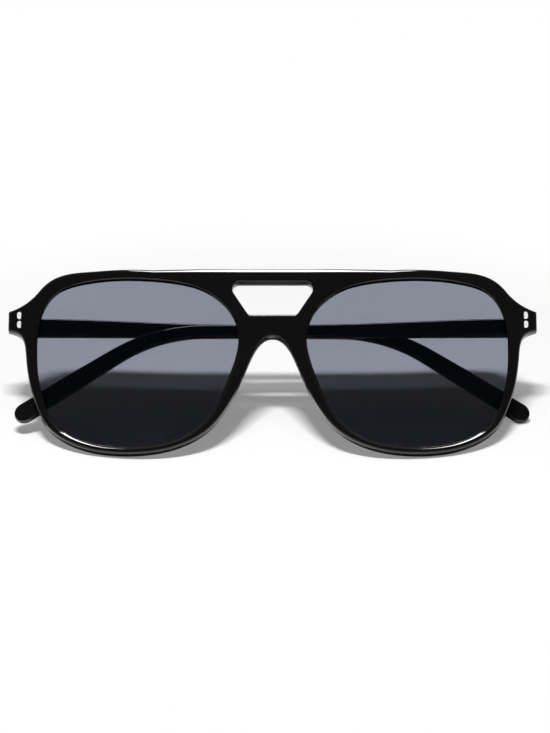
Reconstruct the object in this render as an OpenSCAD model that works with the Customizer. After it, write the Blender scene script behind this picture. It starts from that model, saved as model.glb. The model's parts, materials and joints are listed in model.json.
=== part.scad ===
// Square aviator sunglasses, folded and resting as they lie on a table.
// Every piece is drawn in the frame of the front: x runs to the wearer's left,
// y runs back from the front's face, z runs up the front from its lowest rim.
// The whole is then leaned back until both lower rims and one tip touch the table.

/* [Front] */
// Overall width of the front, lug to lug
frame_w = 145; // [140:0.5:150]
// Width of one lens opening
eye_w = 55.1; // [52:0.1:57]
// Height of one lens opening
eye_h = 48; // [44:0.5:50]
// Distance between the two lens openings
bridge_w = 18.4; // [17:0.1:21]
// Thickness of the sheet that the front is cut from
front_t = 4; // [3.6:0.1:4.6]
// Radius of the front seen from above, outside the flat bridge
face_r = 215; // [200:5:320]
// Half width of the flat stretch at the bridge
flat_half = 12; // [8:1:16]

/* [Rims] */
// Rim above the lens
rim_top = 2.7; // [2.2:0.1:3.6]
// Rim at the upper outer corner
rim_corner = 4; // [3.4:0.1:5]
// Rim on the outer side
rim_side = 3.1; // [2.6:0.1:3.8]
// Rim below the lens
rim_low = 1.9; // [1.6:0.1:2.8]
// Rim beside the nose
rim_nose = 3.5; // [3:0.1:4.4]
// Width of the bevel round the lens opening on the face
face_bevel = 1.1; // [0.6:0.1:1.3]
// Rounding of the outer edges
edge_r = 0.8; // [0.4:0.1:1]

/* [Bridge] */
// Height of the brow bar above the cut-out
brow_h = 3.9; // [3:0.1:5]
// Height of the bridge between the cut-out and the nose arch
nose_bar_h = 6.3; // [5:0.1:8]
// Height of the cut-out
cut_h = 9.3; // [8:0.1:10.5]
// Half width of the cut-out at its top, to the sharp corner
cut_top = 12.6; // [11.4:0.1:13]
// Half width of the cut-out at its bottom
cut_low = 6.6; // [5:0.1:7.5]
// Corner radius of the cut-out at its top
cut_r = 2; // [1:0.1:2.4]

/* [Lugs and hinges] */
// Height of a lug at its outer end
lug_h = 5.6; // [5.2:0.1:7]
// Height of the middle of the lug above the lowest rim
lug_z = 40; // [38:0.1:41]
// Distance from a hinge pin to the lug's outer end
pin_in = 6.2; // [5.8:0.1:6.6]
// Distance of a hinge pin behind the lug's back face
pin_back = 1.3; // [1.1:0.05:1.4]
// Radius of a hinge barrel
barrel_r = 1.15; // [1:0.05:1.3]
// Height of one of the three barrels
barrel_h = 1.38; // [1.2:0.02:1.5]
// Gap between two barrels
barrel_gap = 0.05; // [0.03:0.01:0.1]
// Radius of the hinge screw's shank
screw_r = 0.55; // [0.4:0.05:0.6]
// Radial clearance of the shank in the barrels
screw_fit = 0.04; // [0.02:0.01:0.08]
// Radius of the screw's head
head_r = 0.95; // [0.8:0.05:1.05]
// Height of the screw's head
head_h = 0.5; // [0.3:0.05:0.6]
// Thickness of a hinge leaf
leaf_t = 0.8; // [0.6:0.05:0.9]
// Length of the leaf in the front
front_leaf = 5; // [4.4:0.1:5.2]
// Length of the leaf in the temple
temple_leaf = 11; // [8:0.5:14]
// Depth of the temple's leaf below the temple's inner face
leaf_sink = 0.3; // [0.2:0.05:0.35]
// Clearance of a leaf in its pocket
seat = 0.04; // [0.02:0.01:0.08]
// Radius of a rivet's pin
rivet_r = 0.45; // [0.35:0.05:0.5]
// Width of a rivet's head
rivet_w = 1.25; // [1:0.05:1.4]
// Height of a rivet's head
rivet_h = 2.05; // [1.8:0.05:2.2]
// How far a rivet's head stands out
rivet_out = 0.12; // [0.05:0.01:0.2]
// Distance between the two rivets of a pair, centre to centre
rivet_gap = 2.6; // [2.4:0.05:2.7]
// Distance of the front rivets from the lug's outer end
rivet_in = 3.1; // [2.8:0.1:3.4]
// Distance of the temple rivets from the hinge pin
rivet_back = 6; // [4:0.5:8]

/* [Temples] */
// Length of the straight part, from the pin to the bend
straight_l = 85; // [78:1:90]
// Radius of the ear bend
bend_r = 46; // [38:1:54]
// Angle of the ear bend
bend_a = 32.5; // [28:0.5:36]
// Length of the ear part behind the bend
ear_l = 32.5; // [28:0.5:36]
// Height of a temple at the hinge
temple_h = 4.9; // [4.7:0.1:5.2]
// Height of a temple at its thinnest
waist_h = 3.5; // [3.2:0.1:4.2]
// Height of a temple at its tip
tip_h = 5.2; // [4.4:0.1:5.6]
// Thickness of a temple at the hinge
temple_t = 3.4; // [3.1:0.1:3.6]
// Thickness of a temple at its tip
tip_t = 2.8; // [2.5:0.1:3]
// Rounding of a temple's edges
temple_r = 0.7; // [0.4:0.1:0.9]
// Gap between a temple's inner face and the hinge barrels
knuckle_gap = 0.15; // [0.1:0.05:0.3]
// Gap between a temple's butt end and the lug when it is open
butt_gap = 0.15; // [0.1:0.05:0.3]
// Width of the core wire
core_w = 1; // [0.6:0.1:1]
// Thickness of the core wire
core_t = 0.8; // [0.5:0.1:0.9]

/* [Resting position] */
// Angle between an open temple and the front
let_back = 95; // [92:0.5:97]
// Gap between the folded left temple and the rim that it passes
rim_gap = 0.5; // [0.4:0.05:0.8]
// Gap between the folded right temple and the left one in front of it
stack_gap = 0.65; // [0.4:0.05:0.8]
// Set of the left hinge, which lowers its tip a little
set_left = 0.7; // [0:0.1:0.8]
// Set of the right hinge, which lifts its tip a little
set_right = 0.5; // [0:0.1:0.8]

/* [Lenses and pads] */
// Thickness of a lens
lens_t = 1.8; // [1.6:0.1:2]
// Depth of the groove that holds the lens
groove_d = 0.7; // [0.5:0.1:0.9]
// Distance of the groove behind the face
groove_y = 1.3; // [1.2:0.1:1.5]
// Clearance of the lens in its groove
lens_fit = 0.05; // [0.02:0.01:0.1]
// How far the middle of a lens bulges forward
lens_dome = 0.8; // [0.4:0.1:1]
// How far a nose pad stands out behind the rim
pad_h = 3; // [2:0.1:4]
// Clearance of the cement under a nose pad
pad_seat = 0.02; // [0:0.01:0.1]

/* [Hidden] */

// Outline of a lens opening, anticlockwise from its outer side, as shares of half
// its width and half its height, with the width of the rim beside each point
EYE = [
    [1, 0.134, rim_side], [0.967, 0.593, rim_corner], [0.79, 0.903, rim_corner],
    [0.39, 1.005, rim_top], [-0.136, 0.988, rim_top], [-0.608, 0.875, rim_top],
    [-0.902, 0.61, rim_nose], [-0.996, 0.25, rim_nose], [-0.898, -0.2, rim_nose],
    [-0.681, -0.683, (rim_nose + rim_low) / 2], [-0.372, -0.935, rim_low],
    [0.045, -1, rim_low], [0.481, -0.923, rim_low], [0.808, -0.692, rim_low],
    [0.949, -0.302, (rim_side + rim_low) / 2]
];
eye_n = len(EYE);
eye_x = (bridge_w + eye_w) / 2;
eye_z = rim_low + eye_h / 2;
half_w = frame_w / 2;

// Places round the lens, as positions along EYE, where the rim changes into something else
at_cut = 5.3;
at_side = 5.75;
at_foot = 6.35;
at_bar = 6.6;
at_arch = 6.95;
at_nose = 8;
at_lug_low = 15.15;
at_lug_end = 15.55;
at_lug_top = 16;
at_lug_high = 16.65;
at_brow = 19;

// Steps along each chain of the outer line
cut_steps = 6;
arch_steps = 7;
rim_steps = 28;
lug_steps = 6;
top_steps = 10;
brow_steps = 5;

// Depths of the section through a rim, measured back from the face
bevel_y = 0.6;
back_bevel = 0.5;
groove_w = lens_t + 2 * lens_fit;

// Smooth closed curve through the rows of a table
function spline(a, b, c, d, t) =
    (2 * b + (c - a) * t + (2 * a - 5 * b + 4 * c - d) * t * t + (3 * b - a - 3 * c + d) * t * t * t) / 2;
function eye_row(s) =
    let (i = floor(s), t = s - i)
    spline(EYE[(i - 1 + eye_n) % eye_n], EYE[i % eye_n], EYE[(i + 1) % eye_n], EYE[(i + 2) % eye_n], t);
function eye_at(s) = let (r = eye_row(s)) [eye_x + r[0] * eye_w / 2, eye_z + r[1] * eye_h / 2];
function unit(v) = v / norm(v);
function right_of(v) = [v[1], -v[0]];
function eye_out(s) = right_of(unit(eye_at(s + 0.02) - eye_at(s - 0.02 + (s < 0.02 ? eye_n : 0))));
function rim_at(s) = eye_at(s) + eye_out(s) * eye_row(s)[2];
function rim_dir(s) = unit(rim_at(s + 0.05) - rim_at(s - 0.05));

// How far the face lies behind its foremost plane, and the ease of a blend
function sag(x) =
    let (d = max(0, abs(x) - flat_half)) face_r - sqrt(face_r * face_r - d * d);
function ease(t) = let (c = min(1, max(0, t))) c * c * (3 - 2 * c);

// Curves: a bezier with n steps, and the arc that rounds the corner p between a and b
function bezier(a, b, c, d, n) =
    [for (i = [0:n]) let (t = i / n, q = 1 - t)
        a * q * q * q + b * 3 * q * q * t + c * 3 * q * t * t + d * t * t * t];
function rounded(a, p, b, r, n) =
    let (
        u = unit(a - p),
        v = unit(b - p),
        half = acos(u * v) / 2,
        c = p + unit(u + v) * r / sin(half),
        from = p + u * r / tan(half) - c,
        to = p + v * r / tan(half) - c,
        turn = 180 - 2 * half,
        side = from[0] * to[1] - from[1] * to[0] > 0 ? 1 : -1
    )
    [for (i = [0:n]) let (w = side * turn * i / n)
        c + [from[0] * cos(w) - from[1] * sin(w), from[0] * sin(w) + from[1] * cos(w)]];

// Heights of the bridge
brow_z = rim_at(at_brow - eye_n)[1];
cut_z = brow_z - brow_h;
bar_z = cut_z - cut_h;
arch_z = bar_z - nose_bar_h;
arch_half = 4;
arch_reach = 8;
cut_foot_r = 1;
lug_r = 0.5;

// The outer line of one half of the front in chains, each a list of [place, point]
function placed(s0, s1, pts) =
    let (n = len(pts) - 1) [for (i = [0:n]) [s0 + (s1 - s0) * i / n, pts[i]]];
function tail(list) = [for (i = [1:len(list) - 1]) list[i]];
cut_corner = [cut_top, cut_z];
cut_foot = [cut_low, bar_z];
cut_start = rounded([0, cut_z], cut_corner, cut_foot, cut_r, cut_steps);
cut_end = rounded(cut_corner, cut_foot, [0, bar_z], cut_foot_r, 3);
cut_side = [for (i = [1:3]) cut_start[cut_steps] + (cut_end[0] - cut_start[cut_steps]) * i / 4];
lug_low = [half_w, lug_z - lug_h / 2];
lug_top = [half_w, lug_z + lug_h / 2];

// Ways of the lug's edges, and how far each curve holds to its straight ends
lug_rise = [0.97, 0.24];
lug_fall = [-1, 0.25];
side_pull = 4.4;
foot_pull = 3.2;
head_pull = 3.4;
top_pull = 3;

chain_cut = concat(
    placed(at_cut, at_side, cut_start),
    placed(at_side + 0.15, at_foot - 0.15, cut_side),
    placed(at_foot, at_foot + 0.1, cut_end),
    [[at_bar, [0, bar_z]]]
);
chain_arch = placed(at_arch, at_nose, bezier(
    [0, arch_z], [arch_half, arch_z],
    rim_at(at_nose) - rim_dir(at_nose) * arch_reach, rim_at(at_nose), arch_steps));
chain_rim = [for (i = [1:rim_steps])
    let (s = at_nose + (at_lug_low - at_nose) * i / rim_steps) [s, rim_at(s)]];
lug_foot = rounded(lug_low - lug_rise, lug_low, lug_top, lug_r, 2);
lug_head = rounded(lug_low, lug_top, lug_top + lug_fall, lug_r, 2);
chain_lug = concat(
    tail(placed(at_lug_low, at_lug_end, bezier(
        rim_at(at_lug_low), rim_at(at_lug_low) + rim_dir(at_lug_low) * side_pull,
        lug_foot[0] - lug_rise * foot_pull, lug_foot[0], lug_steps))),
    tail(placed(at_lug_end, at_lug_end + 0.08, lug_foot)),
    placed(at_lug_top - 0.08, at_lug_top, lug_head),
    tail(placed(at_lug_top, at_lug_high, bezier(
        lug_head[2], lug_head[2] + lug_fall * head_pull,
        rim_at(at_lug_high) - rim_dir(at_lug_high) * top_pull, rim_at(at_lug_high), lug_steps + 1)))
);
chain_top = [for (i = [1:top_steps])
    let (s = at_lug_high + (at_brow - at_lug_high) * i / top_steps) [s, rim_at(s)]];
brow_from = rim_at(at_brow)[0];
brow_to = at_cut + eye_n - 0.1;
chain_brow = [for (i = [1:brow_steps]) let (t = i / brow_steps)
    [at_brow + (brow_to - at_brow) * t, [brow_from + (cut_start[0][0] - brow_from) * t, brow_z]]];
chain_round = concat(chain_arch, chain_rim, chain_lug, chain_top, chain_brow);

// Ways out of the material along a chain, with the two ends given
function ways_out(chain, first, last) =
    let (n = len(chain) - 1)
    [for (i = [0:n]) i == 0 ? first : i == n ? last : right_of(unit(chain[i + 1][1] - chain[i - 1][1]))];
seam_n = 2;
seam = [for (i = [1:seam_n]) let (t = i / (seam_n + 1))
    [at_bar + (at_arch - at_bar) * t, [0, bar_z + (arch_z - bar_z) * t]]];
stations = concat(chain_cut, seam, chain_round);
outs = concat(
    ways_out(chain_cut, [0, -1], [0, 1]),
    [for (i = [1:seam_n]) [0, 0]],
    ways_out(chain_round, [0, -1], [0, 1])
);

// Section of the front at one station: 14 points, from the face round by the lens
function deep(p, y) = [p[0], y + sag(p[0]), p[1]];
function section(k) =
    let (
        s = stations[k][0],
        b = stations[k][1],
        out = outs[k],
        a = eye_at(s),
        m = eye_out(s),
        wide = norm(b - a),
        f = min(face_bevel, 0.45 * wide),
        r = min(edge_r, 0.35 * wide),
        q = r * (1 - sqrt(0.5))
    )
    [
        deep(a + m * f, 0), deep(a, bevel_y), deep(a, groove_y),
        deep(a + m * groove_d, groove_y), deep(a + m * groove_d, groove_y + groove_w),
        deep(a, groove_y + groove_w), deep(a, front_t - back_bevel), deep(a + m * back_bevel, front_t),
        deep(b - out * r, front_t), deep(b - out * q, front_t - (out == [0, 0] ? 0 : q)),
        deep(b, front_t - (out == [0, 0] ? 0 : r)), deep(b, out == [0, 0] ? 0 : r),
        deep(b - out * q, out == [0, 0] ? 0 : q), deep(b - out * r, 0)
    ];
function flipped(p) = [0 - p[0], p[1], p[2]];

sec_n = 14;
edge_first = 8;
count = len(stations);
seam_from = len(chain_cut) - 1;
seam_to = len(chain_cut) + seam_n;
half_pts = [for (k = [0:count - 1]) each section(k)];
function at_seam(k) = (k >= seam_from && k < seam_to) || k == count - 1;
half_faces = [for (k = [0:count - 1]) for (j = [0:sec_n - 1])
    if (!(at_seam(k) && j >= edge_first && j < sec_n - 1))
        [k * sec_n + j, k * sec_n + (j + 1) % sec_n,
         ((k + 1) % count) * sec_n + (j + 1) % sec_n, ((k + 1) % count) * sec_n + j]];
function backwards(f) = [for (i = [len(f) - 1:-1:0]) f[i]];
far = count * sec_n;
bar_loop = concat(
    [for (j = [edge_first:sec_n - 1]) (count - 1) * sec_n + j],
    [for (j = [sec_n - 1:-1:edge_first]) j]
);
bar_faces = [for (i = [0:len(bar_loop) - 1]) let (a = bar_loop[i], b = bar_loop[(i + 1) % len(bar_loop)])
    [a, b, b + far, a + far]];
function split(f) = [[f[0], f[1], f[2]], [f[0], f[2], f[3]]];

module front_blank()
{
    faces = concat(
        [for (f = half_faces) each split(f)],
        [for (f = half_faces) each split(backwards([for (i = f) i + far]))],
        [for (f = bar_faces) each split(f)]
    );
    polyhedron(concat(half_pts, [for (p = half_pts) flipped(p)]), faces, convexity = 10);
}

// Skins over rings of points: the walls between rings, and the caps at both ends
function walls(rings, n) =
    [for (k = [0:rings - 2]) for (j = [0:n - 1]) each split(
        [k * n + j, k * n + (j + 1) % n, (k + 1) * n + (j + 1) % n, (k + 1) * n + j])];
function caps(rings, n) = [[for (j = [n - 1:-1:0]) j], [for (j = [0:n - 1]) (rings - 1) * n + j]];
module skin(rings)
{
    n = len(rings[0]);
    polyhedron([for (r = rings) each r], concat(walls(len(rings), n), caps(len(rings), n)), convexity = 6);
}

// Lens: rings that grow from the middle to the edge, in front and back
lens_steps = 60;
lens_shares = [0.35, 0.7, 1];
lens_edge = [for (i = [0:lens_steps - 1]) let (s = eye_n * i / lens_steps)
    eye_at(s) + eye_out(s) * (groove_d - 2 * lens_fit)];
function lens_ring(share, y) =
    [for (p = lens_edge) let (q = [eye_x, eye_z] + (p - [eye_x, eye_z]) * share)
        deep(q, y - lens_dome * (1 - share * share))];
lens_front = groove_y + lens_fit;
lens_back = lens_front + lens_t;
lens_rings = concat(
    [for (f = lens_shares) lens_ring(f, lens_front)],
    [for (i = [len(lens_shares) - 1:-1:0]) lens_ring(lens_shares[i], lens_back)]
);

module lens_blank()
{
    skin(lens_rings);
}

// Nose pad: a low ridge that follows the rim beside the nose, on its back face
pad_from = 7.55;
pad_to = 8.95;
pad_steps = 14;
pad_least = 0.25;
pad_in = 0.3;
pad_out = 0.75;
function pad_ring(i) =
    let (
        t = i / pad_steps,
        s = pad_from + (pad_to - pad_from) * t,
        b = chain_point(s),
        a = eye_at(s),
        m = unit(b - a),
        wide = norm(b - a),
        h = pad_least + pad_h * sqrt(sin(12 + 156 * t)),
        inner = back_bevel + pad_in,
        outer = wide - pad_out,
        base = front_t + pad_seat
    )
    [
        deep(a + m * inner, base), deep(a + m * (inner + 0.1), base + h * 0.6),
        deep(a + m * (inner + 0.7), base + h * 0.95), deep(a + m * (outer - 0.5), base + h),
        deep(a + m * (outer + 0.15), base + h * 0.7), deep(a + m * outer, base)
    ];
// A point of the outer line beside the nose, at a place along the lens
function chain_point(s) =
    s >= at_nose ? rim_at(s) :
    let (t = (s - at_arch) / (at_nose - at_arch) * arch_steps, i = min(arch_steps - 1, floor(t)))
    chain_arch[i][1] + (chain_arch[i + 1][1] - chain_arch[i][1]) * (t - i);

module pad_blank()
{
    skin([for (i = [0:pad_steps]) pad_ring(i)]);
}

// Hinge pin, in the frame of the front
pin_x = half_w - pin_in;
lug_y = sag(pin_x + 1) + front_t;
pin_y = lug_y + pin_back;
leaf_half = 1.5 * barrel_h + barrel_gap;
inner_d = barrel_r + knuckle_gap;
splay = let_back - 90;
bite = 0.01;
room = 0.3;

// Temple: its own frame has the hinge pin as z, x out through its thickness, y along it
bend_l = bend_r * bend_a * PI / 180;
temple_l = straight_l + bend_l + ear_l;
waist_at = 55;
round_l = 3;
tip_flat = 0.4;
function along(q) =
    q <= straight_l ? [q, 0, 0] :
    q <= straight_l + bend_l ?
        let (w = (q - straight_l) / bend_r * 180 / PI)
        [straight_l + bend_r * sin(w), -bend_r * (1 - cos(w)), w] :
        let (r = q - straight_l - bend_l)
        [straight_l + bend_r * sin(bend_a) + r * cos(bend_a),
         -bend_r * (1 - cos(bend_a)) - r * sin(bend_a), bend_a];
function temple_height(q) =
    temple_h + (waist_h - temple_h) * ease(q / waist_at)
    + (tip_h - waist_h) * ease((q - straight_l) / (temple_l - straight_l - round_l));
function temple_thick(q) = temple_t + (tip_t - temple_t) * min(1, q / (straight_l + bend_l));
temple_mid = inner_d + temple_t / 2;
drop = (temple_h - waist_h) / 2;
function temple_drop(q) = -drop * ease(q / waist_at);
function butt_y(d) = (butt_gap - pin_back + d * sin(splay)) / cos(splay);

// A ring of the temple at q along it, shrunk by two shares near the tip
function corner_ring(a, b, r) =
    [for (c = [[1, 1, 0], [-1, 1, 90], [-1, -1, 180], [1, -1, 270]]) for (w = [0, 45, 90])
        [c[0] * (a - r) + r * cos(c[2] + w), c[1] * (b - r) + r * sin(c[2] + w)]];
function laid(q, flat, mid, lift) =
    let (c = along(q))
    [for (p = flat) [mid + p[0], c[0] + (p[1] + lift) * sin(c[2]), c[1] + (p[1] + lift) * cos(c[2])]];
function temple_ring(q, tall = 1, wide = 1) =
    laid(q, corner_ring(temple_thick(q) / 2 * wide, temple_height(q) / 2 * tall, temple_r * min(tall, wide)),
        temple_mid, temple_drop(q));
function mitred(ring) = [for (p = ring) [p[0], butt_y(p[0]), p[2]]];
tip_q = temple_l - round_l;
temple_stops = concat(
    [4, 9, 16, 24, 33, 44, 55, 70, straight_l],
    [for (i = [1:7]) straight_l + bend_l * i / 7],
    [for (i = [1:3]) straight_l + bend_l + (ear_l - round_l) * i / 3]
);
temple_rings = concat(
    [mitred(temple_ring(0))],
    [for (q = temple_stops) temple_ring(q)],
    [for (w = [25, 45, 62, 76, 86])
        temple_ring(tip_q + round_l * sin(w), cos(w), tip_flat + (1 - tip_flat) * cos(w))]
);

// Core wire: the same path, with one small section all along
core_start = 0.6;
core_end = straight_l + bend_l + ear_l * 0.6;
core_stops = concat(
    [12, 24, 33, 44, 55, 70, straight_l],
    [for (i = [1:5]) straight_l + bend_l * i / 5]
);
function core_ring(q, grow) =
    laid(q, [for (c = [[1, 1], [-1, 1], [-1, -1], [1, -1]])
        [c[0] * (core_t / 2 + grow), c[1] * (core_w / 2 + grow)]], temple_mid, temple_drop(q));
module core_sweep(from, grow)
{
    skin([for (q = concat([from], core_stops, [core_end + grow])) core_ring(q, grow)]);
}

// Rivets: a flat stadium head that stands a little proud, on a round pin
module stadium(long, wide, high)
{
    straight = (long - wide) / 2;
    for (e = [-straight, straight]) translate([e, 0, 0]) cylinder(h = high, r = wide / 2, $fn = 24);
    translate([-straight, -wide / 2, 0]) cube([2 * straight, wide, high]);
}

// The front rivets stand along y, with their heads on the face
rivet_x = half_w - rivet_in;
rivet_face = sag(rivet_x);
head_sink = 0.4;
rivet_fit = 0.03;
module front_rivet_shape(grow)
{
    for (z = [-rivet_gap / 2, rivet_gap / 2]) translate([rivet_x, 0, lug_z + z])
    {
        translate([0, rivet_face - rivet_out - grow, 0]) rotate([-90, 90, 0])
            stadium(rivet_h + 2 * grow, rivet_w + 2 * grow, head_sink + rivet_out + 2 * grow);
        translate([0, rivet_face, 0]) rotate([-90, 0, 0])
            cylinder(h = lug_y - rivet_face + (grow > 0 ? 1 : -bite), r = rivet_r + grow, $fn = 24);
    }
}

// The temple rivets stand along x in the temple's frame, with their heads outside
temple_gap = 2.1;
temple_rivet_h = rivet_h - 0.1;
temple_rivet_w = rivet_w - 0.2;
temple_outside = inner_d + temple_t;
module temple_rivet_shape(grow)
{
    for (z = [-temple_gap / 2, temple_gap / 2]) translate([0, rivet_back, z])
    {
        translate([temple_outside - head_sink - grow, 0, 0]) rotate([90, 0, 90])
            stadium(temple_rivet_h + 2 * grow, temple_rivet_w + 2 * grow, head_sink + rivet_out + 2 * grow);
        translate([inner_d + leaf_sink + bite - grow, 0, 0]) rotate([0, 90, 0])
            cylinder(h = temple_t - leaf_sink - head_sink / 2, r = rivet_r + grow, $fn = 24);
    }
}

// Hinge leaves, in the front's frame and in the temple's frame
module barrel(z0, z1, r = barrel_r)
{
    translate([0, 0, z0]) cylinder(h = z1 - z0, r = r, $fn = 32);
}
knuckle_low = barrel_h / 2 + barrel_gap;
neck = barrel_r * 0.8;
leaf_start = 0.1;
slot_w = 0.25;
module front_leaf_shape()
{
    difference()
    {
        union()
        {
            translate([pin_x + barrel_r + room, lug_y - leaf_t, lug_z - leaf_half])
                cube([front_leaf - barrel_r - room, leaf_t, 2 * leaf_half]);
            for (z = [-leaf_half, knuckle_low]) translate([pin_x, 0, lug_z + z])
            {
                translate([-neck, lug_y - leaf_t, 0])
                    cube([neck + barrel_r + room + bite, leaf_t, barrel_h]);
                translate([-neck, lug_y - leaf_t, 0])
                    cube([2 * neck, leaf_t + pin_back, barrel_h]);
                translate([0, pin_y, 0]) barrel(0, barrel_h);
            }
        }
        translate([pin_x, pin_y, lug_z]) barrel(-leaf_half - 1, leaf_half + 1, screw_r + screw_fit);
        front_rivet_shape(rivet_fit);
    }
}
module temple_leaf_shape()
{
    difference()
    {
        union()
        {
            barrel(-barrel_h / 2, barrel_h / 2);
            translate([0, -leaf_start, -barrel_h / 2])
                cube([inner_d + leaf_sink + leaf_t, barrel_r + leaf_start, barrel_h]);
            translate([inner_d + leaf_sink, leaf_start, -leaf_half])
                cube([leaf_t, temple_leaf - leaf_start, 2 * leaf_half]);
        }
        barrel(-leaf_half - 1, leaf_half + 1, screw_r + screw_fit);
        temple_rivet_shape(rivet_fit);
    }
}
module screw_shape()
{
    difference()
    {
        union()
        {
            translate([0, 0, -leaf_half]) cylinder(h = 2 * leaf_half + bite, r = screw_r, $fn = 32);
            translate([0, 0, leaf_half]) cylinder(h = head_h, r = head_r, $fn = 32);
        }
        translate([-head_r, -slot_w / 2, leaf_half + head_h / 2]) cube([2 * head_r, slot_w, head_h]);
    }
}

// One half of the front's fittings: a boss with a flat back, a pocket for the leaf
boss_in = barrel_r + room + 0.1;
boss_wall = 0.4;
boss_t = 2;
head_room = 0.2;
module lug_boss()
{
    translate([pin_x - boss_in, lug_y - boss_t, lug_z - leaf_half - boss_wall])
        cube([half_w - pin_x + boss_in - edge_r, boss_t, 2 * (leaf_half + boss_wall)]);
}
module lug_cuts()
{
    translate([pin_x - boss_in - 1, lug_y, lug_z - lug_h]) cube([half_w, front_t, 2 * lug_h]);
    translate([pin_x - barrel_r - room, lug_y - leaf_t - seat, lug_z - leaf_half - seat])
        cube([front_leaf + barrel_r + room + seat, leaf_t + 1, 2 * (leaf_half + seat)]);
    translate([pin_x - head_r - head_room, pin_y - head_r - 0.75 * head_room, lug_z])
        cube([2 * (head_r + head_room), front_t, leaf_half + head_h + head_room]);
    front_rivet_shape(rivet_fit);
}

// Folded angles, measured back from the front: the left temple passes close behind
// the far rim, and the right temple passes close behind the left one
cross_x = eye_x + eye_w / 2 + 0.3 * rim_side;
cross_back = sag(cross_x) + front_t + rim_gap;
fold_left = asin((cross_back - pin_y - inner_d - (temple_t - tip_t) / 2) / (pin_x + cross_x));
meet_q = straight_l + bend_l / 2;
function clear_at(q) =
    let (thick = (temple_thick(q) + temple_thick(2 * pin_x - q)) / 2)
    asin((thick + stack_gap + q * sin(fold_left)) / (2 * pin_x - q));
fold_right = max(clear_at(meet_q), clear_at(2 * pin_x - meet_q));

// Placing: the right side mirrors the left, and each hinge has its own small set
module turned(set)
{
    translate([pin_x, 0, lug_z]) rotate([0, set, 0]) translate([-pin_x, 0, -lug_z]) children();
}
module on_left() { turned(-set_left) children(); }
module on_right() { mirror([1, 0, 0]) turned(set_right) children(); }
module folded(fold) { translate([pin_x, pin_y, lug_z]) rotate([0, 0, 90 - fold]) children(); }
module folded_left() { on_left() folded(fold_left) children(); }
module folded_right() { on_right() folded(fold_right) children(); }

// Resting: both lower rims and the right tip touch the table. The lean comes from
// the lowest points of the front and of the right temple at a first guess of it.
lean_guess = 40;
function right_point(p) =
    let (w = 90 - fold_right, x = p[0] * cos(w) - p[1] * sin(w), y = p[0] * sin(w) + p[1] * cos(w))
    [x * cos(set_right) + p[2] * sin(set_right), pin_y + y,
     lug_z + p[2] * cos(set_right) - x * sin(set_right)];
right_pts = [for (r = temple_rings) for (p = r) right_point(p)];
function above(p, a) = p[2] * cos(a) - p[1] * sin(a);
function behind(p, a) = p[1] * cos(a) + p[2] * sin(a);
function lowest(pts) =
    let (d = [for (p = pts) above(p, lean_guess)]) pts[search(min(d), d)[0]];
foot = lowest(half_pts);
tip = lowest(right_pts);
lean = atan2(tip[2] - foot[2], tip[1] - foot[1]);
lift = -above(foot, lean);
back_most = max([for (p = right_pts) behind(p, lean)]);
front_most = min([for (p = half_pts) behind(p, lean)]);
module resting()
{
    translate([0, -(front_most + back_most) / 2, lift]) rotate([-lean, 0, 0]) children();
}

module front()
{
    color("#161617") resting() difference()
    {
        union()
        {
            front_blank();
            on_left() lug_boss();
            on_right() lug_boss();
        }
        on_left() lug_cuts();
        on_right() lug_cuts();
    }
}
module lens_left() { color("#3a4150") resting() lens_blank(); }
module lens_right() { color("#3a4150") resting() mirror([1, 0, 0]) lens_blank(); }
module nose_pad_left() { color("#161617") resting() pad_blank(); }
module nose_pad_right() { color("#161617") resting() mirror([1, 0, 0]) pad_blank(); }
module front_hinge_left() { color("#b9b7b2") resting() on_left() front_leaf_shape(); }
module front_hinge_right() { color("#b9b7b2") resting() on_right() front_leaf_shape(); }
module front_rivets_left() { color("#d8d8d8") resting() on_left() front_rivet_shape(0); }
module front_rivets_right() { color("#d8d8d8") resting() on_right() front_rivet_shape(0); }

module temple_shape()
{
    difference()
    {
        skin(temple_rings);
        translate([inner_d + leaf_sink - seat, -barrel_r - 1, -leaf_half - seat])
            cube([leaf_t + 2 * seat, barrel_r + 1 + temple_leaf + seat, 2 * (leaf_half + seat)]);
        translate([inner_d - 1, -barrel_r - 1, -barrel_h / 2 - seat])
            cube([1 + leaf_sink, 2 * barrel_r + 1 + seat, barrel_h + 2 * seat]);
        core_sweep(-1, seat);
        temple_rivet_shape(rivet_fit);
    }
}
module temple_left() { color("#161617") resting() folded_left() temple_shape(); }
module temple_right() { color("#161617") resting() folded_right() temple_shape(); }
module temple_core_left() { color("#8d8c88") resting() folded_left() core_sweep(core_start, 0); }
module temple_core_right() { color("#8d8c88") resting() folded_right() core_sweep(core_start, 0); }
module temple_hinge_left() { color("#b9b7b2") resting() folded_left() temple_leaf_shape(); }
module temple_hinge_right() { color("#b9b7b2") resting() folded_right() temple_leaf_shape(); }
module temple_rivets_left() { color("#d8d8d8") resting() folded_left() temple_rivet_shape(0); }
module temple_rivets_right() { color("#d8d8d8") resting() folded_right() temple_rivet_shape(0); }
module hinge_screw_left()
{
    color("#c9c8c4") resting() on_left() translate([pin_x, pin_y, lug_z]) screw_shape();
}
module hinge_screw_right()
{
    color("#c9c8c4") resting() on_right() translate([pin_x, pin_y, lug_z]) screw_shape();
}

front();
lens_left();
lens_right();
nose_pad_left();
nose_pad_right();
front_hinge_left();
front_hinge_right();
front_rivets_left();
front_rivets_right();
temple_left();
temple_right();
temple_core_left();
temple_core_right();
temple_hinge_left();
temple_hinge_right();
temple_rivets_left();
temple_rivets_right();
hinge_screw_left();
hinge_screw_right();
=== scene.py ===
# %% [markdown]
# # Square aviator sunglasses, folded and resting on a table
#
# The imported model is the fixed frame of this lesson: every body, hinge and small metal
# fitting is already in its place. What Blender adds is the finish. The black front, its
# nose pads, the lenses and the temples are the pieces that the eye reads, so they are made
# again here with many more and finer faces, from the same measures that the solid model
# has. New are the facet along the brow, the softened corners and the polish of the pads.

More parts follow.
